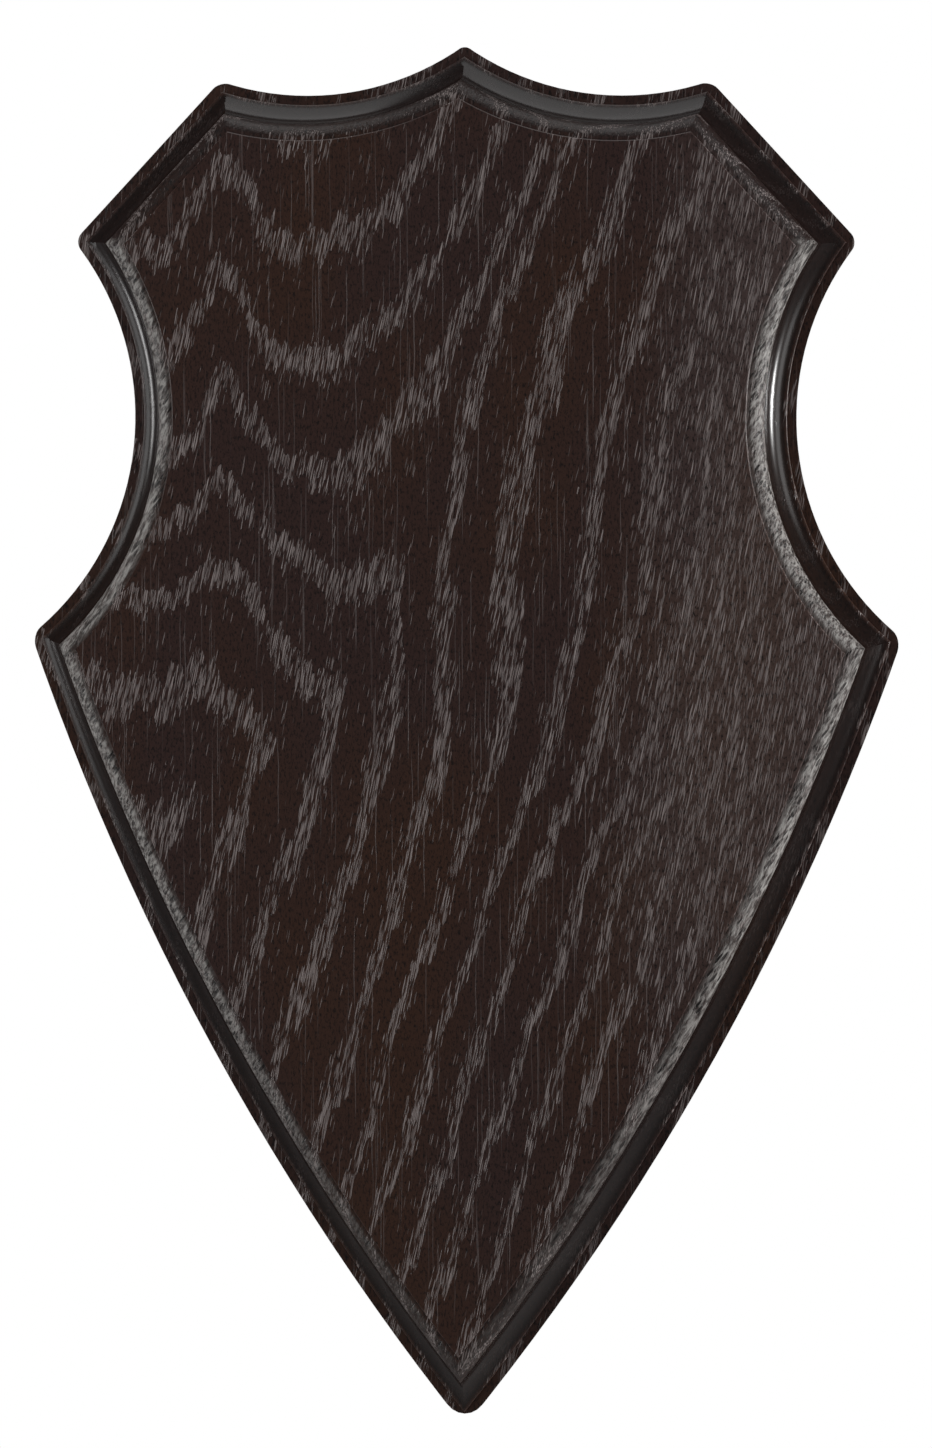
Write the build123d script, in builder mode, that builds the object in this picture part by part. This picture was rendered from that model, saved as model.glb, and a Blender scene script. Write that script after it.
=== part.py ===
from build123d import *
import os
from math import asin, atan, cos, degrees, hypot, radians, sin, sqrt, tan

# Wall plaque for a small trophy: a moulded oak shield with a ring hanger let into its back.
#
# Millimetres, +Z up, +X to the viewer's right, the front faces -Y. The origin is the middle of
# the back face, where the plaque meets the wall.

# Shield outline, between its sharp corners and before they are rounded.
board_height = 223.0
board_width = 142.2          # across the lower corners
top_corner_span = 80.0       # between the two top corners
top_corner_drop = 5.75       # top corners below the peak
shoulder_span = 128.0        # between the two shoulders
shoulder_drop = 31.6         # shoulders below the peak
lower_corner_drop = 95.3     # lower corners below the peak
brow_hollow = 4.85           # depth of the hollow between the peak and a top corner
flank_hollow = 13.4          # depth of the scallop between a shoulder and a lower corner
foot_bulge = 6.4             # swell of the edge between a lower corner and the tip
peak_rounding = 1.5
top_corner_rounding = 2.7
shoulder_rounding = 2.1
lower_corner_rounding = 3.3
tip_rounding = 3.6

# Board thickness and its moulded edge, measured inward from the outline and up from the rim.
rim_thickness = 7.2
moulding_depth = 6.8
moulding_width = 7.2
rim_width = 1.5
lip_height = 0.5
bead_radius = 2.2
quirk_width = 0.35
quirk_depth = 0.3
side_lean = 8.0              # degrees that the side wall leans in towards the back

# Ring hanger: a strap folded around the ring's bar and held by one screw.
hinge_height = 52.0          # the bar of the ring above the middle of the board
wire_diameter = 2.0
ring_corner_radius = 2.2
strap_thickness = 0.8
strap_width = 9.5
strap_length = 14.0          # from the bar to the strap's free end
strap_corner_radius = 3.0
strap_fold_radius = 1.0      # where the upper leaf turns down on the lower one
leaf_gap = 0.1
screw_edge = 5.5             # from the screw to the strap's free end
screw_diameter = 3.0
screw_length = 8.0
screw_tip_length = 2.4
screw_head_diameter = 5.8
screw_head_height = 1.9
cross_length = 3.4
cross_width = 0.8
cross_depth = 1.2

# Clearances.
bar_clearance = 0.08         # ring bar in the strap's fold
bar_play = 1.55              # straight bar that shows on each side of the strap
fold_down_clearance = 1.0    # ring folded down, to the strap's free end
flush_clearance = 2.24       # strap's fold below the wall
ring_floor_clearance = 0.3   # ring at rest above the pocket's floor
pocket_clearance = 3.5       # ring to the pocket's wall
screw_clearance = 0.2        # screw in the strap's hole
pilot_clearance = 0.01       # screw in the board
past_board = 1.0             # how far a cutter's sweep runs past the board's faces
same_place = 0.01            # how near two points are that count as one
rim_share = 0.95             # how much of the rim's corner the tip's rounding may use up

board_thickness = rim_thickness + moulding_depth
wire_radius = wire_diameter / 2
bar_height = strap_thickness + wire_radius + bar_clearance
strap_stack = 2 * strap_thickness + leaf_gap
leg_place = strap_width / 2 + bar_play + ring_corner_radius
ring_reach = strap_length + fold_down_clearance + wire_radius
screw_setback = strap_length - screw_edge
pocket_depth = 2 * bar_height + flush_clearance
pocket_width = 2 * (leg_place + wire_radius + pocket_clearance)
pocket_length = 2 * (ring_reach + wire_radius + pocket_clearance)

front = Vector(0, -1, 0)
back_face = Plane.XZ
pocket_floor = Plane((0, -pocket_depth, hinge_height), x_dir=(-1, 0, 0), z_dir=(0, 1, 0))
strap_side = Plane(pocket_floor.origin, x_dir=(0, 1, 0), z_dir=(1, 0, 0))
screw_seat = Plane((0, strap_stack - pocket_depth, hinge_height - screw_setback),
                   x_dir=(-1, 0, 0), z_dir=(0, 1, 0))
ring_lean = asin((bar_height - wire_radius - ring_floor_clearance) / ring_reach)
ring_plane = Plane((0, bar_height - pocket_depth, hinge_height), x_dir=(1, 0, 0),
                   z_dir=(0, -cos(ring_lean), -sin(ring_lean)))

# Right half of the outline, from the peak down to the tip, in the board's own X and Z.
peak = (0, board_height / 2)
top_corner = (top_corner_span / 2, board_height / 2 - top_corner_drop)
shoulder = (shoulder_span / 2, board_height / 2 - shoulder_drop)
lower_corner = (board_width / 2, board_height / 2 - lower_corner_drop)
tip = (0, -board_height / 2)

# A sharper tip leaves less of the rim to round, so the rim limits the rounding there.
foot_rise = board_height - lower_corner_drop
foot_chord = hypot(board_width / 2, foot_rise)
tip_half_angle = atan(board_width / 2 / foot_rise) + 2 * atan(2 * foot_bulge / foot_chord)
tip_radius = min(tip_rounding, rim_share * rim_width / (1 - sin(tip_half_angle)))


def shield_outline():
    """The closed outline of the shield, drawn as its right half and mirrored."""
    with BuildLine(back_face) as outline:
        SagittaArc(peak, top_corner, -brow_hollow)
        Line(top_corner, shoulder)
        SagittaArc(shoulder, lower_corner, -flank_hollow)
        SagittaArc(lower_corner, tip, foot_bulge)
        mirror(about=Plane.YZ)
    return outline.line


def moulding_waste(edge):
    """The section that the cutters take off along an edge, standing square across its start.

    Its x runs inward from the outline and its y runs towards the front, from the rim up.
    """
    start = edge @ 0
    inward = front.cross(edge % 0)
    if front.cross(edge % 0.5).dot(edge @ 0.5) > 0:
        inward = -inward
    across = Plane(start + front * rim_thickness, x_dir=inward, z_dir=inward.cross(front))
    bead_foot = moulding_width - quirk_width - bead_radius
    bead_crown = moulding_width - quirk_width
    bead_top = moulding_depth - quirk_depth
    cove_top = bead_top - bead_radius
    cove_run = bead_foot - rim_width
    cove_radius = (cove_run**2 + (cove_top - lip_height)**2) / (2 * cove_run)
    above = moulding_depth + past_board
    below = -rim_thickness - past_board
    lean = -below * tan(radians(side_lean))
    with BuildSketch(across) as waste:
        with BuildLine():
            Polyline((bead_crown, bead_top), (moulding_width, bead_top), (moulding_width, above),
                     (-past_board, above), (-past_board, below), (lean, below), (0, 0),
                     (rim_width, 0), (rim_width, lip_height))
            RadiusArc((rim_width, lip_height), (bead_foot, cove_top), cove_radius)
            RadiusArc((bead_foot, cove_top), (bead_crown, bead_top), -bead_radius)
        make_face()
    return waste.sketch


def stands_at(edge, corner):
    """Whether an edge is the side wall's own corner, from the rim to the back, at this corner."""
    from_rim = abs(edge.bounding_box().size.Y - rim_thickness) < same_place
    return from_rim and any(abs(end.Z - corner[1]) < same_place for end in (edge @ 0, edge @ 1))


# The shield: one board, moulded all round its front and hollowed behind for the hanger.
with BuildPart() as shield_board:
    outline = shield_outline()
    with BuildSketch(back_face) as blank:
        with BuildLine():
            add(outline)
        make_face()
    extrude(amount=board_thickness)
    for edge in outline.edges():
        waste = moulding_waste(edge)
        if edge.geom_type == GeomType.LINE:
            extrude(waste, amount=edge.length, dir=edge % 0, mode=Mode.SUBTRACT)
        else:
            pivot = Axis(edge.arc_center, (edge @ 0 - edge.arc_center).cross(edge % 0))
            revolve(waste, pivot, degrees(edge.length / edge.radius), mode=Mode.SUBTRACT)
    for place, rounding in ((peak, peak_rounding), (top_corner, top_corner_rounding),
                            (shoulder, shoulder_rounding), (lower_corner, lower_corner_rounding),
                            (tip, tip_radius)):
        fillet(shield_board.edges().filter_by(lambda edge: stands_at(edge, place)), rounding)
    with BuildSketch(pocket_floor):
        SlotOverall(pocket_length, pocket_width, rotation=90)
    extrude(amount=pocket_depth, mode=Mode.SUBTRACT)
    with BuildSketch(pocket_floor):
        with Locations((0, -screw_setback)):
            Circle(screw_diameter / 2 + pilot_clearance)
    extrude(amount=strap_stack - screw_length, mode=Mode.SUBTRACT)
shield_board.part.label = "shield_board"


# The strap: one strip folded double around the ring's bar, its two leaves under the screw.
with BuildPart() as hanger_strap:
    fold_radius = wire_radius + bar_clearance + strap_thickness / 2
    upper_leaf = strap_stack - strap_thickness / 2
    turn_centre = upper_leaf + strap_fold_radius
    turn_drop = sqrt((fold_radius + strap_fold_radius)**2 - (turn_centre - bar_height)**2)
    turn_share = fold_radius / (fold_radius + strap_fold_radius)
    fold_end = (bar_height + turn_share * (turn_centre - bar_height), -turn_share * turn_drop)
    with BuildSketch(strap_side):
        with BuildLine():
            Line((strap_thickness / 2, -strap_length), (strap_thickness / 2, 0))
            loop = ThreePointArc((strap_thickness / 2, 0), (bar_height + fold_radius, 0), fold_end)
            TangentArc(loop @ 1, (upper_leaf, -turn_drop), tangent=loop % 1)
            Line((upper_leaf, -turn_drop), (upper_leaf, -strap_length))
        trace(line_width=strap_thickness)
    extrude(amount=strap_width / 2, both=True)
    free_end = hanger_strap.edges().filter_by(Axis.Y).group_by(Axis.Z)[0]
    fillet(free_end, strap_corner_radius)
    with Locations(screw_seat):
        Hole(screw_diameter / 2 + screw_clearance)
hanger_strap.part.label = "hanger_strap"


# The ring: round wire bent to a D, its straight bar in the fold and its bow for the hook.
with BuildPart() as hanger_ring:
    corner_place = leg_place - ring_corner_radius
    leg_top = ring_reach - leg_place
    with BuildLine(ring_plane) as wire_path:
        Line((0, 0), (corner_place, 0))
        RadiusArc((corner_place, 0), (leg_place, ring_corner_radius), -ring_corner_radius)
        Line((leg_place, ring_corner_radius), (leg_place, leg_top))
        RadiusArc((leg_place, leg_top), (0, ring_reach), -leg_place)
        mirror(about=Plane.YZ)
    with BuildSketch(Plane(ring_plane.origin, z_dir=ring_plane.x_dir)):
        Circle(wire_radius)
    sweep(path=wire_path.line)
hanger_ring.part.label = "hanger_ring"


# The screw: a pan head with a cross slot, clamping both leaves to the pocket's floor.
with BuildPart() as hanger_screw:
    crown_radius = (screw_head_diameter**2 / 4 + screw_head_height**2) / (2 * screw_head_height)
    with BuildSketch(Plane(screw_seat.origin)):
        with BuildLine():
            head = RadiusArc((0, screw_head_height), (screw_head_diameter / 2, 0), crown_radius)
            Polyline(head @ 1, (screw_diameter / 2, 0),
                     (screw_diameter / 2, screw_tip_length - screw_length), (0, -screw_length),
                     head @ 0)
        make_face()
    revolve(axis=Axis(screw_seat.origin, (0, 1, 0)))
    with BuildSketch(screw_seat.offset(screw_head_height)):
        Rectangle(cross_length, cross_width)
        Rectangle(cross_width, cross_length)
    extrude(amount=-cross_depth, mode=Mode.SUBTRACT)
hanger_screw.part.label = "hanger_screw"


os.makedirs("parts", exist_ok=True)
for piece in (shield_board, hanger_strap, hanger_ring, hanger_screw):
    export_step(piece.part, f"parts/{piece.part.label}.step")
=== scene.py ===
import logging
import math
from dataclasses import dataclass
from enum import Enum
from typing import Sequence, Union

import bmesh
import bpy
from mathutils import Matrix, Vector


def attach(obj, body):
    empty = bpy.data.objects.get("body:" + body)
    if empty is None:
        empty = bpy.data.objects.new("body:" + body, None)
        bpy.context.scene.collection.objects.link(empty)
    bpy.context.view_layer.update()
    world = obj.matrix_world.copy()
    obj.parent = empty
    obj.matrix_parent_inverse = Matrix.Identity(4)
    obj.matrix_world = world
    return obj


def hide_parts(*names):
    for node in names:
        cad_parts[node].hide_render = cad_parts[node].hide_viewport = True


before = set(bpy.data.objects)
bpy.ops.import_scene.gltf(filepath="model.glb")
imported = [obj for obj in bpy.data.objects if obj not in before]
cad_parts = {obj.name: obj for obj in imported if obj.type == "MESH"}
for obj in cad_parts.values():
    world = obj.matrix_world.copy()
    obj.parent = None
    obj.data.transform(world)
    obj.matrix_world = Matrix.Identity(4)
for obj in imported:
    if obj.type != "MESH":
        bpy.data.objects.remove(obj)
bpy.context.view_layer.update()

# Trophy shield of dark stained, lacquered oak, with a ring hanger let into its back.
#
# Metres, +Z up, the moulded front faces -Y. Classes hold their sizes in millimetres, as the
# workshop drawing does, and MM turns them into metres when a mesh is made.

MM = 0.001
SAME_PLACE = 0.001    # how near two points are that count as one, in millimetres
FRONT = Vector((0.0, -1.0, 0.0))
log = logging.getLogger("shield")

Socket = bpy.types.NodeSocket
Value = Union[Socket, float, Sequence[float]]


class Body(Enum):
    """The rigid bodies that the pieces ride on."""

    BOARD = "board"


# ---------------------------------------------------------------- finishes


class Graph:
    """A material's node tree, with short calls for the nodes that the finishes use."""

    def __init__(self, name: str) -> None:
        """Makes the material and its Principled shader.

        Args:
            name: the material's name.
        """
        self.material = bpy.data.materials.new(name)
        self.material.use_nodes = True
        self.tree = self.material.node_tree
        self.tree.nodes.clear()
        self.shader = self.tree.nodes.new("ShaderNodeBsdfPrincipled")
        output = self.tree.nodes.new("ShaderNodeOutputMaterial")
        self.tree.links.new(self.shader.outputs["BSDF"], output.inputs["Surface"])

    def feed(self, socket: Socket, value: Value) -> None:
        """Links a socket to another, or sets it to a constant."""
        if isinstance(value, bpy.types.NodeSocket):
            self.tree.links.new(value, socket)
        elif value is not None:
            socket.default_value = value

    def place_mm(self) -> Socket:
        """The surface point in the object's own frame, in millimetres."""
        coordinates = self.tree.nodes.new("ShaderNodeTexCoord")
        return self.vector("MULTIPLY", coordinates.outputs["Object"], (1 / MM,) * 3)

    def split(self, vector: Socket) -> tuple[Socket, Socket, Socket]:
        """The X, Y and Z of a vector."""
        node = self.tree.nodes.new("ShaderNodeSeparateXYZ")
        self.feed(node.inputs[0], vector)
        return node.outputs[0], node.outputs[1], node.outputs[2]

    def join(self, x: Value, y: Value, z: Value) -> Socket:
        """A vector of three values."""
        node = self.tree.nodes.new("ShaderNodeCombineXYZ")
        for socket, value in zip(node.inputs, (x, y, z)):
            self.feed(socket, value)
        return node.outputs[0]

    def vector(self, operation: str, a: Value, b: Value) -> Socket:
        """A vector operation on a and b."""
        node = self.tree.nodes.new("ShaderNodeVectorMath")
        node.operation = operation
        self.feed(node.inputs[0], a)
        self.feed(node.inputs[1], b)
        return node.outputs[0]

    def math(self, operation: str, a: Value, b: Value = None, c: Value = None) -> Socket:
        """A math operation on up to three values."""
        node = self.tree.nodes.new("ShaderNodeMath")
        node.operation = operation
        for socket, value in zip(node.inputs, (a, b, c)):
            self.feed(socket, value)
        return node.outputs[0]

    def ease(self, value: Value, start: Value, end: Value, low: Value = 0.0,
             high: Value = 1.0) -> Socket:
        """A smooth step from low to high, as value goes from start to end."""
        node = self.tree.nodes.new("ShaderNodeMapRange")
        node.interpolation_type = "SMOOTHSTEP"
        for name, given in (("Value", value), ("From Min", start), ("From Max", end),
                            ("To Min", low), ("To Max", high)):
            self.feed(node.inputs[name], given)
        return node.outputs["Result"]

    def noise(self, vector: Socket, scale: float, detail: float = 2.0,
              roughness: float = 0.5) -> Socket:
        """Fractal noise about zero, from about -0.5 to 0.5."""
        node = self.tree.nodes.new("ShaderNodeTexNoise")
        self.feed(node.inputs["Vector"], vector)
        node.inputs["Scale"].default_value = scale
        node.inputs["Detail"].default_value = detail
        node.inputs["Roughness"].default_value = roughness
        return self.math("SUBTRACT", node.outputs["Fac"], 0.5)

    def cells(self, vector: Socket) -> tuple[Socket, Socket]:
        """The distance to the nearest of scattered points, and that point's own random number."""
        node = self.tree.nodes.new("ShaderNodeTexVoronoi")
        self.feed(node.inputs["Vector"], vector)
        node.inputs["Scale"].default_value = 1.0
        return node.outputs["Distance"], self.split(node.outputs["Color"])[0]

    def mix(self, factor: Value, a: Value, b: Value) -> Socket:
        """A colour between a and b."""
        node = self.tree.nodes.new("ShaderNodeMix")
        node.data_type = "RGBA"
        for name, given in (("Factor_Float", factor), ("A_Color", a), ("B_Color", b)):
            socket = next(s for s in node.inputs if s.identifier == name)
            self.feed(socket, given)
        return next(s for s in node.outputs if s.identifier == "Result_Color")

    def bump(self, height_mm: Socket, strength: float = 1.0) -> Socket:
        """A normal that shows a relief whose height is in millimetres."""
        node = self.tree.nodes.new("ShaderNodeBump")
        node.inputs["Strength"].default_value = strength
        node.inputs["Distance"].default_value = MM
        self.feed(node.inputs["Height"], height_mm)
        return node.outputs["Normal"]


@dataclass(frozen=True)
class WoodPoint:
    """A point of the board in millimetres: across it, into it from the front, and up it."""

    across: Socket
    depth: Socket
    up: Socket

    def moved(self, g: Graph, sideways: Socket) -> "WoodPoint":
        """The point moved sideways."""
        return WoodPoint(g.math("ADD", self.across, sideways), self.depth, self.up)

    def along_grain(self, g: Graph, squeeze: float, lean: float = 0.0) -> Socket:
        """The point squeezed up the board, so that a noise there stretches along the grain.

        Args:
            g: the material's graph.
            squeeze: what a length up the board is multiplied by.
            lean: how far the grain leans to the right as it climbs.

        Returns:
            A vector for a texture.
        """
        upright = g.math("MULTIPLY_ADD", self.up, -lean, self.across) if lean else self.across
        return g.join(upright, self.depth, g.math("MULTIPLY", self.up, squeeze))


@dataclass(frozen=True)
class Zones:
    """How far a point belongs to each part of the front, from 0 to 1."""

    # the fine-pored right side of the face, which also carries a painted sheen
    fine_pored_and_sheen: Socket
    cove: Socket
    bead: Socket
    # side beads, whose pale broken fibres are partly their own colour and partly a painted highlight
    torn_and_lit_bead: Socket

    @classmethod
    def at(cls, g: Graph, point: WoodPoint) -> "Zones":
        """Finds the parts of the front by their depth below it and their height on the board.

        Args:
            g: the material's graph.
            point: where to look.

        Returns:
            The point's share in each part.
        """
        right_side, lower_end, face_skin = (18.0, 42.0), (-60.0, -15.0), (1.0, 0.5)
        cove_foot, cove_top = (6.35, 6.1), (2.3, 2.8)
        bead_foot, bead_crown = (2.7, 2.4), (0.28, 0.34)
        below_shoulders, towards_tip, left_at_tip = (80.6, 79.8), (-95.0, -20.0), 0.12
        slant = g.math("MULTIPLY_ADD", point.up, -0.10, point.across)
        fine_pored_and_sheen = g.math("MULTIPLY", g.ease(slant, *right_side), g.ease(point.up, *lower_end))
        fine_pored_and_sheen = g.math("MULTIPLY", fine_pored_and_sheen, g.ease(point.depth, *face_skin))
        cove = g.math("MULTIPLY", g.ease(point.depth, *cove_foot), g.ease(point.depth, *cove_top))
        bead = g.math("MULTIPLY", g.ease(point.depth, *bead_foot), g.ease(point.depth, *bead_crown))
        # Painted highlight: the pale fibres keep to the beads below the shoulders, where the side lamps
        # shine, and fade towards the tip as that light does.
        torn_and_lit_bead = g.math("MULTIPLY", bead, g.ease(point.up, *below_shoulders))
        torn_and_lit_bead = g.math("MULTIPLY", torn_and_lit_bead,
                           g.ease(point.up, *towards_tip, left_at_tip, 1.0))
        return cls(fine_pored_and_sheen, cove, bead, torn_and_lit_bead)


@dataclass(frozen=True)
class StainedOak:
    """Flat-sawn oak, stained nearly black and lacquered thinly, so that its pores stay open.

    The growth rings are laid out as they meet the front face: nested valleys on the upper left,
    and long tails that lean and run to the tip. Lengths are in millimetres, and a pair of
    heights is where a change up the board starts and where it is done.
    """

    board_thickness: float = 14.0

    valley_spacing: float = 18.0    # up the board, between one valley and the next
    valley_height: float = 61.0     # height of the valley that is numbered 0
    valley_axis: float = -26.0
    valley_drift: float = 0.15      # how fast the lower valleys move to the right
    valley_flare: float = 0.034
    rib_axis: float = -38.5         # a swelling of the log that lifts the valleys' left sides
    rib_width: float = 5.5
    rib_height: float = 14.0
    low_rib_width: float = 9.5
    low_rib_height: float = 6.0
    rib_narrows: tuple = (10.0, 60.0)
    rib_rises: tuple = (-20.0, 35.0)
    tilt_start: float = -20.0       # to the left of this the lower valleys climb
    tilt_blend: float = 6.0
    low_tilt: float = 0.5
    tilt_ends: tuple = (15.0, 50.0)

    tail_spacing: float = 7.0       # across the lower board
    tail_phase: float = 1.03        # ring number on the lower board's middle line
    tail_lean: float = 0.35
    left_tail_gain: float = 0.048   # rings that the tails lose for each millimetre to the left
    waist_spacing: float = 14.0     # across the middle of the board
    waist_phase: float = 0.5
    waist_upright: float = 0.27     # lean that the tails lose above the middle
    top_height: float = 50.0
    top_lean: float = 0.33          # lean that they take up again above the top height
    bend_blend: float = 12.0
    side_blend: float = 8.0
    left_waist_gain: float = 0.05
    right_crowding: float = 2.0e-5
    waist_starts: tuple = (-25.0, 30.0)

    joint_blend: float = 0.35       # between valleys and tails, in rings
    sway: float = 4.5
    sway_scale: float = 0.07
    ripple: float = 0.62            # in rings, like the comb
    ripple_scale: float = 0.22
    comb: float = 0.42
    comb_scale: float = 1.1
    rings_in_depth: float = 0.30    # rings for each millimetre into the board
    ring_start: float = 0.15
    first_row: tuple = (0.0, 0.06)  # shares of a ring in which the open pores begin and end
    last_row: tuple = (0.20, 0.42)

    fibre_lean: float = 0.20        # how far a fibre leans to the right as it climbs
    pore_width: float = 0.22
    pore_length: float = 4.0
    hair_width: float = 0.16
    hair_length: float = 18.0
    nick_width: float = 0.62        # torn places across the bead
    nick_length: float = 2.2
    nick_lean: float = 0.8

    wood: tuple = (0.0540, 0.0270, 0.0230, 1.0)
    warm_wood: tuple = (0.0640, 0.0280, 0.0170, 1.0)
    dark: tuple = (0.0060, 0.0040, 0.0036, 1.0)
    pore: tuple = (0.42, 0.355, 0.34, 1.0)
    # pale broken fibres of the side beads: partly their own colour, partly a painted highlight
    torn_and_highlight: tuple = (0.50, 0.48, 0.455, 1.0)
    roughness: float = 0.36
    cove_polish: float = 0.14       # how much smoother the cove is
    open_roughness: float = 0.25    # how much rougher a pore or a torn fibre is

    def valleys(self, g: Graph, x: Socket, z: Socket) -> Socket:
        """The ring numbers of the nested valleys on the upper left of the face."""
        below = g.math("SUBTRACT", self.valley_height, z)
        onset = g.math("MULTIPLY_ADD", g.math("MAXIMUM", below, 0.0), self.valley_drift,
                       self.valley_axis)
        beyond = g.math("MAXIMUM", g.math("SUBTRACT", x, onset), 0.0)
        flare = g.math("MULTIPLY", g.math("MULTIPLY", beyond, beyond), self.valley_flare)
        from_rib = g.math("DIVIDE", g.math("SUBTRACT", x, self.rib_axis),
                          g.ease(z, *self.rib_narrows, self.low_rib_width, self.rib_width))
        hump = g.math("EXPONENT", g.math("MULTIPLY", g.math("MULTIPLY", from_rib, from_rib), -1.0))
        rib = g.math("MULTIPLY", hump,
                     g.ease(z, *self.rib_rises, self.low_rib_height, self.rib_height))
        left = g.math("SMOOTH_MIN", g.math("SUBTRACT", x, self.tilt_start), 0.0, self.tilt_blend)
        tilt = g.math("MULTIPLY", left, g.ease(z, *self.tilt_ends, -self.low_tilt, 0.0))
        lift = g.math("ADD", g.math("ADD", flare, rib), tilt)
        return g.math("DIVIDE", g.math("ADD", below, lift), self.valley_spacing)

    def tails(self, g: Graph, x: Socket, z: Socket) -> Socket:
        """The ring numbers of the long tails that fill the middle, the right and the tip."""
        upper = g.math("SMOOTH_MAX", z, 0.0, self.bend_blend)
        top = g.math("SMOOTH_MAX", g.math("SUBTRACT", z, self.top_height), 0.0, self.bend_blend)
        lean = g.math("MULTIPLY", z, self.tail_lean)
        lean = g.math("MULTIPLY_ADD", upper, -self.waist_upright, lean)
        lean = g.math("MULTIPLY_ADD", top, self.top_lean, lean)
        across = g.math("SUBTRACT", x, lean)
        left = g.math("SMOOTH_MIN", across, 0.0, self.side_blend)
        right = g.math("MAXIMUM", across, 0.0)
        low = g.math("MULTIPLY_ADD", across, -1 / self.tail_spacing, self.tail_phase)
        low = g.math("MULTIPLY_ADD", left, self.left_tail_gain, low)
        high = g.math("MULTIPLY_ADD", across, -1 / self.waist_spacing, self.waist_phase)
        high = g.math("MULTIPLY_ADD", g.math("POWER", right, 3.0), -self.right_crowding, high)
        high = g.math("MULTIPLY_ADD", left, -self.left_waist_gain, high)
        return g.math("MULTIPLY_ADD", g.math("SUBTRACT", high, low),
                      g.ease(z, *self.waist_starts), low)

    def rings(self, g: Graph, point: WoodPoint) -> Socket:
        """The ring number at a point of the board; whole numbers are where a ring starts."""
        sway = g.noise(point.along_grain(g, 0.5), self.sway_scale, 1.0)
        point = point.moved(g, g.math("MULTIPLY", sway, self.sway))
        joined = g.math("SMOOTH_MIN", self.valleys(g, point.across, point.up),
                        self.tails(g, point.across, point.up), self.joint_blend)
        rippled = g.join(point.across, g.math("MULTIPLY", point.depth, 0.6),
                         g.math("MULTIPLY", point.up, 0.22))
        ripple = g.noise(rippled, self.ripple_scale, 3.0, 0.6)
        joined = g.math("MULTIPLY_ADD", ripple, self.ripple, joined)
        comb = g.noise(point.along_grain(g, 0.06, self.fibre_lean), self.comb_scale, 1.0)
        joined = g.math("MULTIPLY_ADD", comb, self.comb, joined)
        return g.math("MULTIPLY_ADD", point.depth, self.rings_in_depth, joined)

    def early_wood(self, g: Graph, rings: Socket) -> Socket:
        """1 in the open-pored wood that starts each ring, falling to 0 in the dense rest."""
        phase = g.math("FRACT", g.math("ADD", rings, self.ring_start))
        return g.math("MULTIPLY", g.ease(phase, *self.first_row),
                      g.ease(phase, *self.last_row, 1.0, 0.0))

    @staticmethod
    def pores(g: Graph, point: WoodPoint, share: Value, width: float, length: float,
              lean: float) -> Socket:
        """Scatters cut vessels over the surface.

        Args:
            g: the material's graph.
            point: where to look.
            share: the share of the places that hold a vessel.
            width: across one place.
            length: along one place.
            lean: how far a vessel leans to the right as it climbs.

        Returns:
            Up to 1 inside a vessel, by how pale that one is, and 0 outside.
        """
        wander, hash_turns, shade_range, darkest = 0.5, 37.0, 0.7, 0.3
        soft_edge = (0.32, 0.50)
        leaned = g.math("MULTIPLY_ADD", point.up, -lean, point.across)
        bend = g.noise(point.along_grain(g, 0.3), 0.5, 1.0)
        leaned = g.math("ADD", leaned, g.math("MULTIPLY", bend, wander))
        distance, chance = g.cells(g.join(g.math("MULTIPLY", leaned, 1 / width),
                                          g.math("MULTIPLY", point.depth, 1 / width),
                                          g.math("MULTIPLY", point.up, 1 / length)))
        own = g.math("FRACT", g.math("MULTIPLY", chance, hash_turns))
        shade = g.math("MULTIPLY_ADD", own, shade_range, darkest)
        present = g.math("MULTIPLY", g.math("LESS_THAN", chance, share), shade)
        return g.math("MULTIPLY", present, g.ease(distance, *soft_edge, 1.0, 0.0))

    def open_pores(self, g: Graph, point: WoodPoint, zones: Zones) -> Socket:
        """Every pore that shows: the rings' large ones, fine ones and long hairs.

        Args:
            g: the material's graph.
            point: where to look.
            zones: the parts of the front, for the fine-pored side.

        Returns:
            How open and pale the surface is, from 0 to 1.
        """
        early = self.early_wood(g, self.rings(g, point))
        side_share, fine_paleness, hair_paleness, hair_share = 0.26, 0.6, 0.28, 0.12
        large_share = g.math("MULTIPLY_ADD", early, 0.95, 0.004)
        gap = g.math("SUBTRACT", side_share, large_share)
        large_share = g.math("MULTIPLY_ADD", zones.fine_pored_and_sheen, gap, large_share)
        fine_share = g.math("MULTIPLY_ADD", early, 0.60, 0.06)
        fine_share = g.math("MULTIPLY_ADD", zones.fine_pored_and_sheen, 0.42, fine_share)
        large = self.pores(g, point, large_share, self.pore_width, self.pore_length,
                           self.fibre_lean)
        fine = self.pores(g, point, fine_share, self.pore_width * 0.7, self.pore_length * 0.6,
                          self.fibre_lean)
        hairs = self.pores(g, point, hair_share, self.hair_width, self.hair_length, 0.0)
        shown = g.math("MAXIMUM", large, g.math("MULTIPLY", fine, fine_paleness))
        return g.math("MAXIMUM", shown, g.math("MULTIPLY", hairs, hair_paleness))

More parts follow.
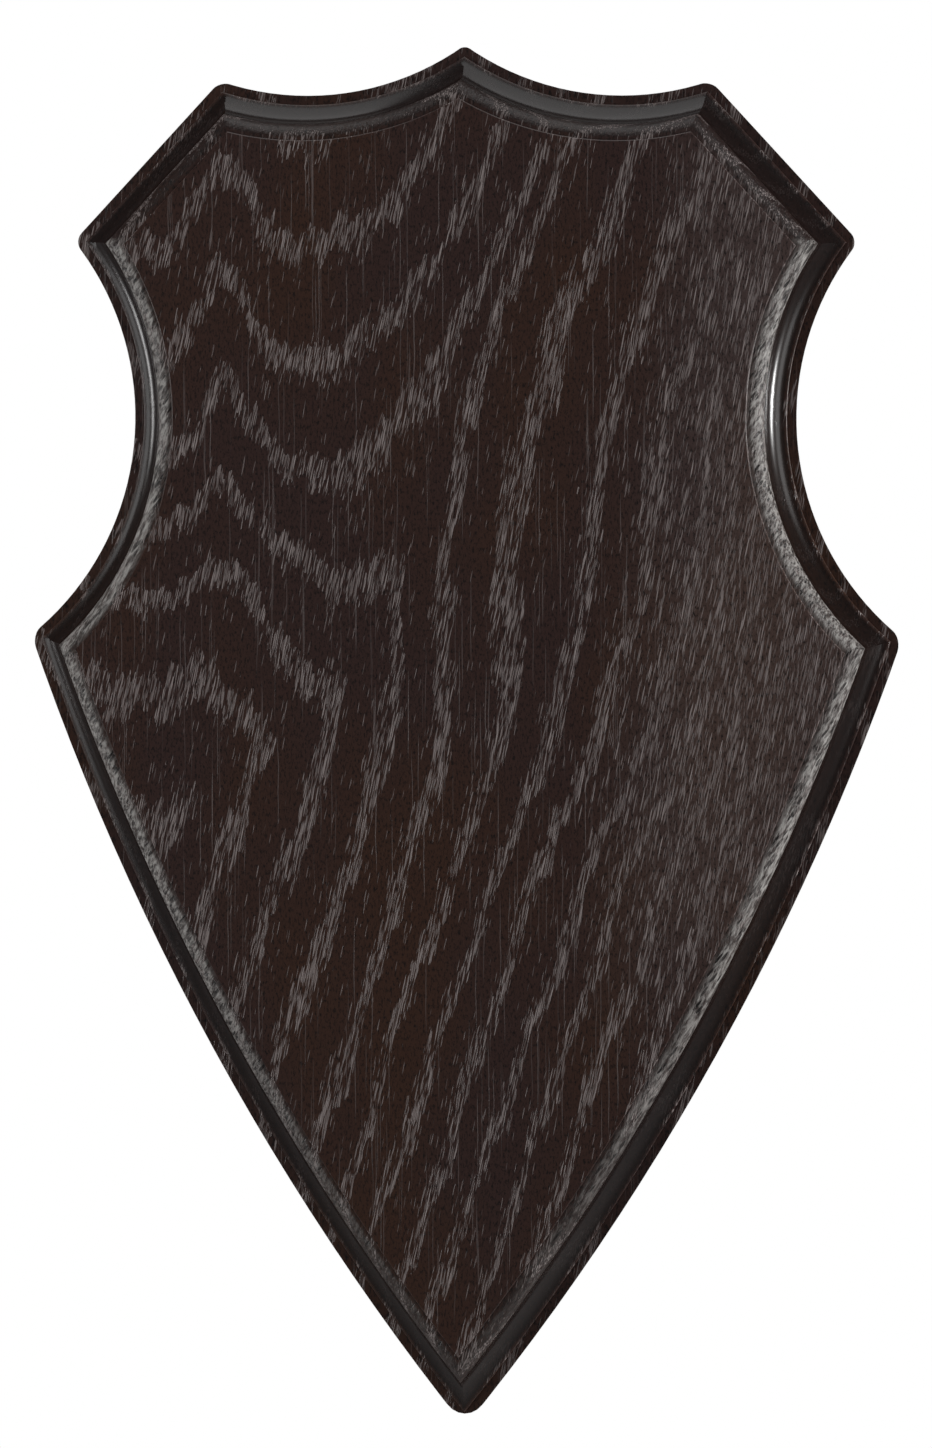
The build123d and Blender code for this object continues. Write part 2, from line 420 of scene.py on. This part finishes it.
    def ground(self, g: Graph, point: WoodPoint, zones: Zones, shaded_nicks: Socket,
               torn_and_highlight: Socket) -> Socket:
        """The stained wood's colour between its pores, with a painted sheen on the right side, painted
        shade in the cove, on the unlit bead and in the cuts across it, and a painted highlight on the side
        beads.

        Args:
            g: the material's graph.
            point: where to look.
            zones: the parts of the front.
            shaded_nicks: the cuts across the bead, painted dark as shade where they break its highlight.
            torn_and_highlight: the pale broken fibres on the side beads, partly their own colour and partly
                a painted highlight.

        Returns:
            A colour.
        """
        painted_side_sheen, cove_painted_shade, bead_painted_shade = 0.10, 0.8, 0.55
        patches = g.noise(point.along_grain(g, 0.5), 0.035, 2.0)
        speckle = g.noise(point.along_grain(g, 0.45), 2.6, 3.0, 0.8)
        shaded_bead = g.math("MULTIPLY", zones.bead, g.math("SUBTRACT", 1.0, torn_and_highlight))
        colour = g.mix(g.ease(patches, -0.12, 0.18), self.wood, self.warm_wood)
        # painted sheen: the ground of the fine-pored right side is made paler, where the right lamps' sheen
        # falls
        colour = g.mix(g.math("MULTIPLY", zones.fine_pored_and_sheen, painted_side_sheen), colour, self.pore)
        colour = g.mix(g.ease(speckle, 0.04, -0.18), colour, self.dark)
        # painted shade: the cove's hollow is darkened nearly to black
        colour = g.mix(g.math("MULTIPLY", zones.cove, cove_painted_shade), colour, self.dark)
        # painted shade: the bead is darkened wherever it has no painted highlight, on the top edges,
        # towards the tip and between the pale patches
        colour = g.mix(g.math("MULTIPLY", shaded_bead, bead_painted_shade), colour, self.dark)
        # painted shade: the cuts across the bead are painted nearly black, where they break the painted
        # highlight
        return g.mix(shaded_nicks, colour, self.dark)

    def build(self) -> bpy.types.Material:
        """Makes the material.

        Returns:
            The material, whose pattern is solid wood in the board's own frame.
        """
        cove_filling, nick_share, pore_sink, fibre_height = 0.94, 0.9, 0.06, 0.03
        nick_sink, bead_height = 0.14, 0.20
        g = Graph("stained_oak")
        x, y, z = g.split(g.place_mm())
        point = WoodPoint(x, g.math("ADD", y, self.board_thickness), z)
        zones = Zones.at(g, point)
        unfilled = g.math("MULTIPLY_ADD", zones.cove, -cove_filling, 1.0)
        pore = g.math("MULTIPLY", self.open_pores(g, point, zones), unfilled)
        # the cuts across the side beads: real relief, with a painted dark shade
        shaded_nicks = self.pores(g, point, g.math("MULTIPLY", zones.torn_and_lit_bead, nick_share),
                           self.nick_width, self.nick_length, self.nick_lean)
        broken = g.noise(point.along_grain(g, 0.3, 0.5), 1.6, 3.0, 0.7)
        # Painted highlight: the side beads are painted pale in broken patches where the side lamps shine,
        # with gaps at the shaded cuts.
        torn_and_highlight = g.math("MULTIPLY", zones.torn_and_lit_bead, g.ease(broken, -0.14, 0.18, 0.06, 1.0))
        torn_and_highlight = g.math("MULTIPLY", torn_and_highlight, g.math("SUBTRACT", 1.0, shaded_nicks))
        colour = g.mix(pore, self.ground(g, point, zones, shaded_nicks, torn_and_highlight), self.pore)
        g.feed(g.shader.inputs["Base Color"], g.mix(torn_and_highlight, colour, self.torn_and_highlight))
        smoothness = g.math("MULTIPLY_ADD", zones.cove, -self.cove_polish, self.roughness)
        g.feed(g.shader.inputs["Roughness"], g.math("MULTIPLY_ADD", g.math("MAXIMUM", pore, torn_and_highlight),
                                                    self.open_roughness, smoothness))
        fibre = g.noise(point.along_grain(g, 0.05, self.fibre_lean), 6.0, 2.0)
        relief = g.math("MULTIPLY", g.math("MULTIPLY", fibre, unfilled), fibre_height)
        relief = g.math("MULTIPLY_ADD", pore, -pore_sink, relief)
        relief = g.math("MULTIPLY_ADD", shaded_nicks, -nick_sink, relief)
        relief = g.math("MULTIPLY_ADD", g.math("MULTIPLY", broken, zones.bead), bead_height, relief)
        g.feed(g.shader.inputs["Normal"], g.bump(relief))
        return g.material


@dataclass(frozen=True)
class PlatedSteel:
    """Thin zinc or nickel plate on steel, with fine rubbed scratches."""

    name: str
    colour: tuple
    roughness: float = 0.3
    scratch: float = 0.01
    dullness: float = 0.62
    unevenness: float = 0.25

    def build(self) -> bpy.types.Material:
        """Makes the material and returns it."""
        g = Graph(self.name)
        place = g.place_mm()
        x, y, z = g.split(place)
        rubbed = g.join(x, g.math("MULTIPLY", y, 4.0), g.math("MULTIPLY", z, 8.0))
        rubbed = g.noise(rubbed, 1.5, 4.0)
        cloud = g.noise(place, 0.6, 3.0)
        dull = tuple(channel * self.dullness for channel in self.colour[:3]) + (1.0,)
        g.feed(g.shader.inputs["Base Color"], g.mix(g.ease(cloud, -0.15, 0.25), dull, self.colour))
        g.shader.inputs["Metallic"].default_value = 1.0
        g.feed(g.shader.inputs["Roughness"], g.math("MULTIPLY_ADD", cloud, self.unevenness, self.roughness))
        g.feed(g.shader.inputs["Normal"], g.bump(g.math("MULTIPLY", rubbed, self.scratch)))
        return g.material


# ---------------------------------------------------------------- the shield


@dataclass(frozen=True)
class OutlineEdge:
    """One edge of the shield's outline, seen from the front, in millimetres.

    A positive bulge swells outwards, a negative one hollows the edge, and 0 is straight.
    """

    start: Vector
    end: Vector
    bulge: float
    steps: int

    @property
    def heading(self) -> Vector:
        """The unit direction from start to end."""
        return (self.end - self.start).normalized()

    @property
    def outward(self) -> Vector:
        """The unit direction away from the shield, square to the chord."""
        return Vector((-self.heading.z, 0.0, self.heading.x))

    @property
    def radius(self) -> float:
        """The radius of the arc."""
        half = (self.end - self.start).length / 2
        return (half**2 + self.bulge**2) / (2 * abs(self.bulge))

    @property
    def pivot(self) -> Vector:
        """The centre of the arc."""
        middle = (self.start + self.end) / 2
        side = -1 if self.bulge > 0 else 1
        return middle + self.outward * side * (self.radius - abs(self.bulge))

    @property
    def turn(self) -> float:
        """The angle that the arc turns about its pivot, by the right-hand rule about FRONT."""
        half = (self.end - self.start).length / 2
        angle = 2 * math.asin(half / self.radius)
        return -angle if self.bulge > 0 else angle

    @property
    def first_outward(self) -> Vector:
        """The unit direction away from the shield at the start."""
        if not self.bulge:
            return self.outward
        radial = (self.start - self.pivot).normalized()
        return radial if self.bulge > 0 else -radial


@dataclass
class Moulding:
    """The section of the moulded edge, inward from the outline and up from the rim."""

    rim_thickness: float = 7.2
    depth: float = 6.8
    width: float = 7.2
    rim_width: float = 1.5
    lip_height: float = 0.5
    bead_radius: float = 2.2
    quirk_width: float = 0.35
    quirk_depth: float = 0.3
    past_board: float = 1.0
    worn_lip: float = 0.16
    worn_field: float = 0.14
    arc_steps: int = 14

    def waste(self) -> bmesh.types.BMesh:
        """Draws the section that the cutters take off.

        Returns:
            A bmesh with one face, whose X runs inward and whose Y runs towards the front.
        """
        bead_foot = self.width - self.quirk_width - self.bead_radius
        bead_crown = self.width - self.quirk_width
        bead_top = self.depth - self.quirk_depth
        cove_top = bead_top - self.bead_radius
        run, rise = bead_foot - self.rim_width, cove_top - self.lip_height
        cove_radius = (run**2 + rise**2) / (2 * run)
        cove_turn = math.asin(rise / cove_radius)
        above = self.depth + self.past_board
        bm = bmesh.new()

        def line_to(last: bmesh.types.BMVert, x: float, y: float) -> bmesh.types.BMVert:
            """Draws a straight line from the last corner and returns the new one."""
            made = bmesh.ops.extrude_vert_indiv(bm, verts=[last])["verts"][0]
            made.co = (x, y, 0.0)
            return made

        def arc_to(last: bmesh.types.BMVert, centre: tuple, angle: float) -> bmesh.types.BMVert:
            """Turns the last corner about a centre and returns where it ends."""
            spun = bmesh.ops.spin(bm, geom=[last], cent=(*centre, 0.0), axis=(0, 0, 1),
                                  angle=angle, steps=self.arc_steps, use_merge=False)
            return next(v for v in spun["geom_last"] if isinstance(v, bmesh.types.BMVert))

        first = bm.verts.new((self.width + self.worn_field, above, 0.0))
        corner = line_to(first, -self.past_board, above)
        corner = line_to(corner, -self.past_board, 0.0)
        foot = line_to(corner, self.rim_width, 0.0)
        lip = line_to(foot, self.rim_width, self.lip_height)
        corner = arc_to(lip, (bead_foot - cove_radius, cove_top), cove_turn)
        corner = arc_to(corner, (bead_foot + self.bead_radius, cove_top), -math.pi / 2)
        corner = line_to(corner, self.width, bead_top)
        corner = line_to(corner, self.width, self.depth - self.worn_field)
        corner = line_to(corner, self.width + self.worn_field, self.depth)
        bm.edges.new((corner, first))
        bmesh.ops.contextual_create(bm, geom=bm.edges[:])
        bmesh.ops.bevel(bm, geom=[lip], offset=self.worn_lip, offset_type="ABSOLUTE", segments=4,
                        profile=0.5, affect="VERTICES", material=-1)
        return bm


@dataclass
class Shield:
    """The moulded oak board."""

    height: float = 223.0
    width: float = 142.2
    top_corner_span: float = 80.0
    top_corner_drop: float = 5.75
    shoulder_span: float = 128.0
    shoulder_drop: float = 31.6
    lower_corner_drop: float = 95.3
    brow_hollow: float = 4.85
    flank_hollow: float = 13.4
    foot_bulge: float = 6.4
    peak_rounding: float = 1.5
    top_corner_rounding: float = 2.7
    shoulder_rounding: float = 2.1
    lower_corner_rounding: float = 3.3
    tip_rounding: float = 3.7
    side_inset: float = 1.012     # how far the side wall leans in from the rim to the back
    hinge_height: float = 52.0
    pocket_width: float = 26.0
    pocket_length: float = 41.0
    pocket_depth: float = 6.0
    worn_rim: float = 0.3
    worn_back: float = 0.4
    worn_angle: float = 40.0      # only edges sharper than this wear, in degrees

    def edges(self) -> list[OutlineEdge]:
        """The right half of the outline, from the peak down to the tip."""
        top = self.height / 2
        peak = Vector((0, 0, top))
        top_corner = Vector((self.top_corner_span / 2, 0, top - self.top_corner_drop))
        shoulder = Vector((self.shoulder_span / 2, 0, top - self.shoulder_drop))
        lower_corner = Vector((self.width / 2, 0, top - self.lower_corner_drop))
        tip = Vector((0, 0, -top))
        return [
            OutlineEdge(peak, top_corner, -self.brow_hollow, 20),
            OutlineEdge(top_corner, shoulder, 0.0, 1),
            OutlineEdge(shoulder, lower_corner, -self.flank_hollow, 36),
            OutlineEdge(lower_corner, tip, self.foot_bulge, 24),
        ]

    def blank(self, moulding: Moulding) -> bmesh.types.BMesh:
        """Saws the board to its outline, with a side wall that leans in towards the back.

        Args:
            moulding: gives the board's thickness behind the rim and in front of it.

        Returns:
            A closed bmesh in millimetres, its back face at Y = 0.
        """
        bm = bmesh.new()
        last = bm.verts.new(self.edges()[0].start)
        corners = [last.co.copy()]
        for edge in self.edges():
            if edge.bulge:
                spun = bmesh.ops.spin(bm, geom=[last], cent=edge.pivot, axis=FRONT,
                                      angle=edge.turn, steps=edge.steps, use_merge=False)
                last = next(v for v in spun["geom_last"] if isinstance(v, bmesh.types.BMVert))
            else:
                last = bmesh.ops.extrude_vert_indiv(bm, verts=[last])["verts"][0]
            last.co = edge.end
            corners.append(last.co.copy())
        bmesh.ops.mirror(bm, geom=bm.verts[:] + bm.edges[:], merge_dist=SAME_PLACE, axis="X")
        bmesh.ops.remove_doubles(bm, verts=bm.verts, dist=SAME_PLACE)
        bmesh.ops.contextual_create(bm, geom=bm.edges[:])
        roundings = (self.peak_rounding, self.top_corner_rounding, self.shoulder_rounding,
                     self.lower_corner_rounding, self.tip_rounding)
        for corner, rounding in zip(corners, roundings):
            self.round_corner(bm, corner, rounding)
        bmesh.ops.translate(bm, verts=bm.verts, vec=FRONT * moulding.rim_thickness)
        front = bmesh.ops.extrude_face_region(bm, geom=bm.faces[:], use_keep_orig=True)
        moved = [v for v in front["geom"] if isinstance(v, bmesh.types.BMVert)]
        bmesh.ops.translate(bm, verts=moved, vec=FRONT * moulding.depth)
        bmesh.ops.recalc_face_normals(bm, faces=bm.faces)
        rim_face = max(bm.faces, key=lambda face: face.calc_center_median().y)
        bmesh.ops.inset_region(bm, faces=[rim_face], thickness=self.side_inset,
                               depth=moulding.rim_thickness, use_even_offset=True,
                               use_boundary=True)
        bmesh.ops.recalc_face_normals(bm, faces=bm.faces)
        return bm

    @staticmethod
    def round_corner(bm: bmesh.types.BMesh, corner: Vector, radius: float) -> None:
        """Rounds a corner of the flat outline, and the one that mirrors it.

        Args:
            bm: the flat outline.
            corner: where the corner is.
            radius: the radius of the rounding, in millimetres.
        """
        mirrored = Vector((-corner.x, corner.y, corner.z))
        for vertex in [v for v in bm.verts if (v.co - corner).length < SAME_PLACE
                       or (v.co - mirrored).length < SAME_PLACE]:
            sides = [e.other_vert(vertex).co - vertex.co for e in vertex.link_edges]
            reach = radius / math.tan(sides[0].angle(sides[1]) / 2)
            bmesh.ops.bevel(bm, geom=[vertex], offset=reach, offset_type="ABSOLUTE", segments=6,
                            profile=0.5, affect="VERTICES", material=-1)

    def cutter(self, edge: OutlineEdge, moulding: Moulding, mirrored: bool) -> bmesh.types.BMesh:
        """Sweeps the moulding's waste along one edge of the outline.

        Args:
            edge: the edge that the cutter follows.
            moulding: the section that it takes off.
            mirrored: whether to cut the left side of the shield instead.

        Returns:
            A closed bmesh in millimetres.
        """
        bm = moulding.waste()
        inward = -edge.first_outward
        across = Matrix((inward, FRONT, inward.cross(FRONT))).transposed().to_4x4()
        origin = edge.start + FRONT * moulding.rim_thickness
        bmesh.ops.transform(bm, matrix=Matrix.Translation(origin) @ across, verts=bm.verts)
        section = bm.verts[:] + bm.edges[:] + bm.faces[:]
        if edge.bulge:
            bmesh.ops.spin(bm, geom=section, cent=edge.pivot, axis=FRONT, angle=edge.turn,
                           steps=edge.steps * 2, use_merge=False)
        else:
            swept = bmesh.ops.extrude_face_region(bm, geom=bm.faces[:])
            moved = [v for v in swept["geom"] if isinstance(v, bmesh.types.BMVert)]
            bmesh.ops.translate(bm, verts=moved, vec=edge.end - edge.start)
        if mirrored:
            bmesh.ops.scale(bm, vec=(-1, 1, 1), verts=bm.verts)
        bmesh.ops.remove_doubles(bm, verts=bm.verts, dist=SAME_PLACE / 2)
        bmesh.ops.recalc_face_normals(bm, faces=bm.faces)
        return bm

    def pocket(self) -> bmesh.types.BMesh:
        """The round-ended pocket behind the board, as the solid that the router takes out."""
        past_back, facets = 1.0, 64
        bm = bmesh.new()
        radius = self.pocket_width / 2
        bmesh.ops.create_circle(bm, cap_ends=True, segments=facets, radius=radius,
                                matrix=Matrix.Rotation(math.pi / 2, 4, "X"))
        straight = self.pocket_length / 2 - radius
        bmesh.ops.bisect_plane(bm, geom=bm.verts[:] + bm.edges[:] + bm.faces[:], dist=SAME_PLACE / 10,
                               plane_co=(0, 0, 0), plane_no=(0, 0, 1))
        for side in (1, -1):
            half = [v for v in bm.verts if v.co.z * side > SAME_PLACE]
            bmesh.ops.translate(bm, verts=half, vec=(0, 0, straight * side))
        bmesh.ops.translate(bm, verts=bm.verts, vec=(0, -self.pocket_depth, self.hinge_height))
        swept = bmesh.ops.extrude_face_region(bm, geom=bm.faces[:])
        moved = [v for v in swept["geom"] if isinstance(v, bmesh.types.BMVert)]
        bmesh.ops.translate(bm, verts=moved, vec=(0, self.pocket_depth + past_back, 0))
        bmesh.ops.recalc_face_normals(bm, faces=bm.faces)
        return bm

    def wear(self, bm: bmesh.types.BMesh, level: float, radius: float) -> None:
        """Rounds the sharp convex edges that lie flat at one level of the board.

        Args:
            bm: the board.
            level: the Y at which the edges lie, in the board's own unit.
            radius: how far each edge is worn back, in the same unit.
        """
        sharp = [e for e in bm.edges if len(e.link_faces) == 2
                 and all(abs(v.co.y - level) < radius / 100 for v in e.verts)
                 and e.calc_face_angle_signed(0) > math.radians(self.worn_angle)]
        bmesh.ops.bevel(bm, geom=sharp, offset=radius, offset_type="OFFSET", segments=3,
                        profile=0.5, affect="EDGES", material=-1, clamp_overlap=True)

    def build(self, moulding: Moulding, finish: bpy.types.Material) -> bpy.types.Object:
        """Moulds the board, routs its pocket and dresses it.

        Args:
            moulding: the section of the moulded edge.
            finish: the oak.

        Returns:
            The finished board.
        """
        blank = self.blank(moulding)
        self.wear(blank, 0.0, self.worn_back)
        board = piece("carved_shield", blank)
        cutters = [self.pocket()]
        for mirrored in (False, True):
            cutters += [self.cutter(edge, moulding, mirrored) for edge in self.edges()]
        for cutter in cutters:
            carve(board, cutter)
        bm = bmesh.new()
        bm.from_mesh(board.data)
        bmesh.ops.remove_doubles(bm, verts=bm.verts, dist=SAME_PLACE * 10 * MM)
        self.wear(bm, -moulding.rim_thickness * MM, self.worn_rim * MM)
        smooth(bm)
        bm.to_mesh(board.data)
        bm.free()
        board.modifiers.new("weighted_normals", "WEIGHTED_NORMAL").keep_sharp = True
        board.data.materials.clear()
        board.data.materials.append(finish)
        return board


def piece(name: str, bm: bmesh.types.BMesh) -> bpy.types.Object:
    """Makes an object from a bmesh in millimetres, and frees the bmesh.

    Args:
        name: the object's name.
        bm: its shape, in millimetres.

    Returns:
        The object, linked to the scene, in metres.
    """
    bmesh.ops.scale(bm, vec=(MM, MM, MM), verts=bm.verts)
    mesh = bpy.data.meshes.new(name)
    bm.to_mesh(mesh)
    bm.free()
    made = bpy.data.objects.new(name, mesh)
    bpy.context.scene.collection.objects.link(made)
    return made


def carve(target: bpy.types.Object, cutter: bmesh.types.BMesh) -> None:
    """Takes a cutter's solid out of an object, and removes the cutter.

    Args:
        target: the object that is cut.
        cutter: the solid, in millimetres.
    """
    tool = piece("cutter", cutter)
    cut = target.modifiers.new("cut", "BOOLEAN")
    cut.operation = "DIFFERENCE"
    cut.solver = "EXACT"
    cut.object = tool
    shape = target.evaluated_get(bpy.context.evaluated_depsgraph_get())
    made = bpy.data.meshes.new_from_object(shape)
    target.modifiers.remove(cut)
    spent = target.data
    target.data = made
    bpy.data.meshes.remove(spent)
    bpy.data.objects.remove(tool)


def smooth(bm: bmesh.types.BMesh, crease: float = 32.0, large: float = 2e-4) -> None:
    """Shades a shape smooth, except its large flat faces and its creased edges.

    Args:
        bm: the shape, in metres.
        crease: edges sharper than this angle stay sharp, in degrees.
        large: faces larger than this are flat, in square metres.
    """
    for face in bm.faces:
        face.smooth = face.calc_area() < large
    for edge in bm.edges:
        edge.smooth = len(edge.link_faces) == 2 and edge.calc_face_angle(0) < math.radians(crease)


# ---------------------------------------------------------------- the studio


@dataclass(frozen=True)
class Panel:
    """A lit panel that faces the shield, placed by its direction seen from the shield."""

    name: str
    azimuth: float              # degrees from straight ahead, to the right
    elevation: float            # degrees up
    distance: float
    width: float
    height: float
    radiance: float
    target: tuple = (0.0, 0.0, 0.0)

    def build(self) -> bpy.types.Object:
        """Hangs the panel and returns it."""
        data = bpy.data.lights.new(self.name, "AREA")
        data.shape = "RECTANGLE"
        data.size = self.width * MM
        data.size_y = self.height * MM
        data.energy = self.radiance * math.pi * data.size * data.size_y
        made = bpy.data.objects.new(self.name, data)
        bpy.context.scene.collection.objects.link(made)
        away = compass(self.azimuth, self.elevation)
        made.location = (Vector(self.target) + away * self.distance) * MM
        made.rotation_euler = away.to_track_quat("Z", "Y").to_euler()
        return made


def compass(azimuth: float, elevation: float) -> Vector:
    """The unit direction at an azimuth right of straight ahead and an elevation, in degrees."""
    side, rise = math.radians(azimuth), math.radians(elevation)
    return Vector((math.sin(side) * math.cos(rise), -math.cos(side) * math.cos(rise),
                   math.sin(rise)))


@dataclass
class Studio:
    """A pale room with soft panels round the shield, and the camera."""

    azimuth: float = 9.0
    elevation: float = 2.0
    distance: float = 2500.0
    aim: Vector = Vector((0.2, -7.2, 2.1))
    view_height: float = 233.548    # what the picture takes in at the shield, top to bottom
    sensor: float = 36.0
    farthest: float = 100.0     # how far the camera sees, in metres
    floor_drop: float = 450.0
    floor_size: float = 3000.0
    floor_colour: tuple = (0.8, 0.8, 0.8, 1.0)
    floor_roughness: float = 0.9
    backdrop: tuple = (1.0, 1.0, 1.0, 1.0)          # what the camera sees behind the shield
    room_light: tuple = (0.06, 0.06, 0.063, 1.0)    # what lights the shield from all round
    panels: tuple = (
        Panel("right_panel", 62.0, 0.0, 700.0, 240.0, 460.0, 2.6, (30.0, 0.0, 30.0)),
        Panel("left_panel", -56.0, 0.0, 700.0, 240.0, 460.0, 2.2, (-30.0, 0.0, 30.0)),
        Panel("right_strip", 94.0, -3.0, 520.0, 40.0, 90.0, 150.0, (40.0, 0.0, 40.0)),
        Panel("left_strip", -84.0, -6.0, 520.0, 90.0, 200.0, 11.0, (-40.0, 0.0, 40.0)),
        Panel("top_panel", 0.0, 72.0, 700.0, 620.0, 900.0, 1.3),
    )

    def camera(self) -> None:
        """Sets up the camera, a little to the right of the shield and a little above it."""
        data = bpy.data.cameras.new("camera")
        data.sensor_width = self.sensor
        data.lens = data.sensor_width * self.distance / self.view_height
        data.clip_end = self.farthest
        made = bpy.data.objects.new("camera", data)
        bpy.context.scene.collection.objects.link(made)
        back = compass(self.azimuth, self.elevation)
        made.location = (self.aim + back * self.distance) * MM
        made.rotation_euler = (-back).to_track_quat("-Z", "Y").to_euler()
        bpy.context.scene.camera = made

    def room(self) -> None:
        """Lays the floor and sets the pale surroundings."""
        bm = bmesh.new()
        bmesh.ops.create_grid(bm, x_segments=8, y_segments=8, size=self.floor_size / 2)
        bmesh.ops.translate(bm, verts=bm.verts, vec=(0, 0, -self.floor_drop))
        floor = piece("floor", bm)
        g = Graph("pale_floor")
        g.shader.inputs["Base Color"].default_value = self.floor_colour
        g.shader.inputs["Roughness"].default_value = self.floor_roughness
        floor.data.materials.append(g.material)
        world = bpy.data.worlds.new("room")
        bpy.context.scene.world = world
        world.use_nodes = True
        nodes, links = world.node_tree.nodes, world.node_tree.links
        nodes.clear()
        seen, lit = nodes.new("ShaderNodeBackground"), nodes.new("ShaderNodeBackground")
        seen.inputs["Color"].default_value = self.backdrop
        lit.inputs["Color"].default_value = self.room_light
        path, mix = nodes.new("ShaderNodeLightPath"), nodes.new("ShaderNodeMixShader")
        output = nodes.new("ShaderNodeOutputWorld")
        links.new(path.outputs["Is Camera Ray"], mix.inputs[0])
        links.new(lit.outputs[0], mix.inputs[1])
        links.new(seen.outputs[0], mix.inputs[2])
        links.new(mix.outputs[0], output.inputs["Surface"])

    def build(self) -> None:
        """Sets up the camera, the lights, the floor and the colour view."""
        self.camera()
        for panel in self.panels:
            panel.build()
        self.room()
        bpy.context.scene.view_settings.view_transform = "Standard"


def main() -> None:
    """Builds the shield, dresses its hanger and builds the studio, in that order."""
    logging.basicConfig(level=logging.INFO, format="%(name)s: %(message)s")
    board = Shield().build(Moulding(), StainedOak().build())
    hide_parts("shield_board")
    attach(board, Body.BOARD.value)
    log.info("%s has %d faces", board.name, len(board.data.polygons))
    finishes = {
        "hanger_strap": PlatedSteel("zinc_strap", (0.62, 0.61, 0.58, 1.0), 0.38),
        "hanger_ring": PlatedSteel("nickel_ring", (0.72, 0.70, 0.66, 1.0), 0.24, 0.004),
        "hanger_screw": PlatedSteel("zinc_screw", (0.66, 0.62, 0.50, 1.0), 0.32),
    }
    for node, finish in finishes.items():
        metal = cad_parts[node]
        metal.data.materials.clear()
        metal.data.materials.append(finish.build())
        log.info("%s is dressed in %s", node, finish.name)
    Studio().build()


if __name__ == "__main__":
    main()
